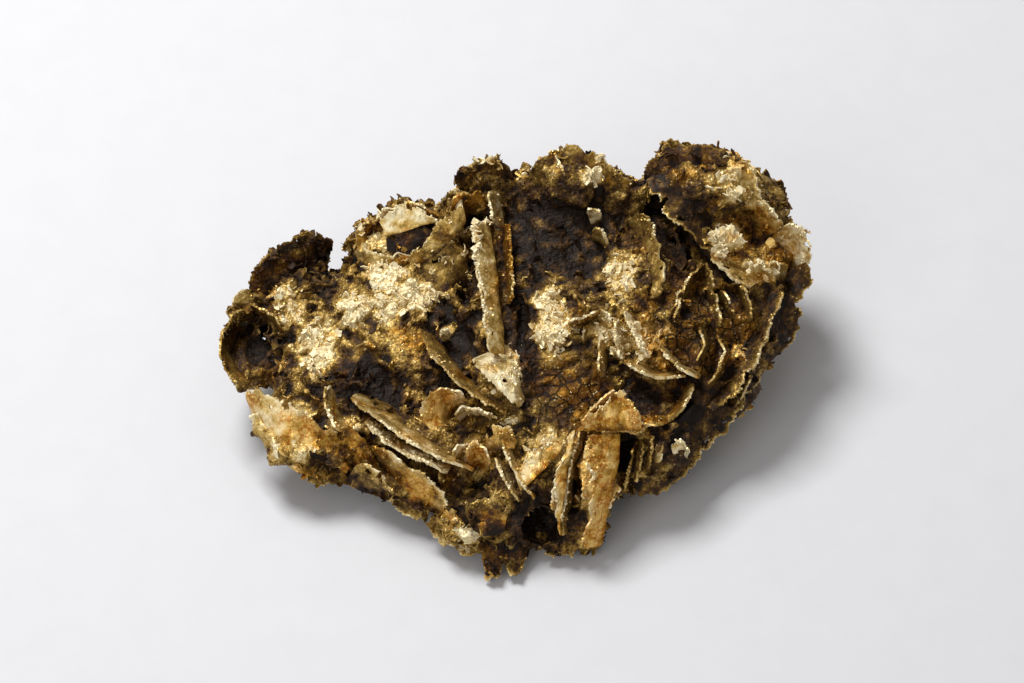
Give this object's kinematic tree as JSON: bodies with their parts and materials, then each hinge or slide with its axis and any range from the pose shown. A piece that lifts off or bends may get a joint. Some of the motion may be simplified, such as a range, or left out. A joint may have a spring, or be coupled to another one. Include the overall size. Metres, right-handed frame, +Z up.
{
  "type": "gold nugget",
  "caption": "Natural crystalline leaf-gold nugget: a crumpled mass of thin intergrown gold leaves and blades with crusted edges and dark iron-oxide hollows, resting on a flat underside.",
  "frame": {"origin": "on the flat underside that the nugget rests on, near the middle of its footprint", "axes": "+Z up, away from the rest face; +X along the nugget's length, towards its high end; -Y towards the picture's viewer"},
  "size_m": [0.0604, 0.0458, 0.0222],
  "materials": {
    "leaf_gold": "native gold, crystalline and pitted, with dark brown iron oxide in the hollows"
  },
  "bodies": {
    "root": {"gold_nugget": "leaf_gold"}
  },
  "joints": []
}
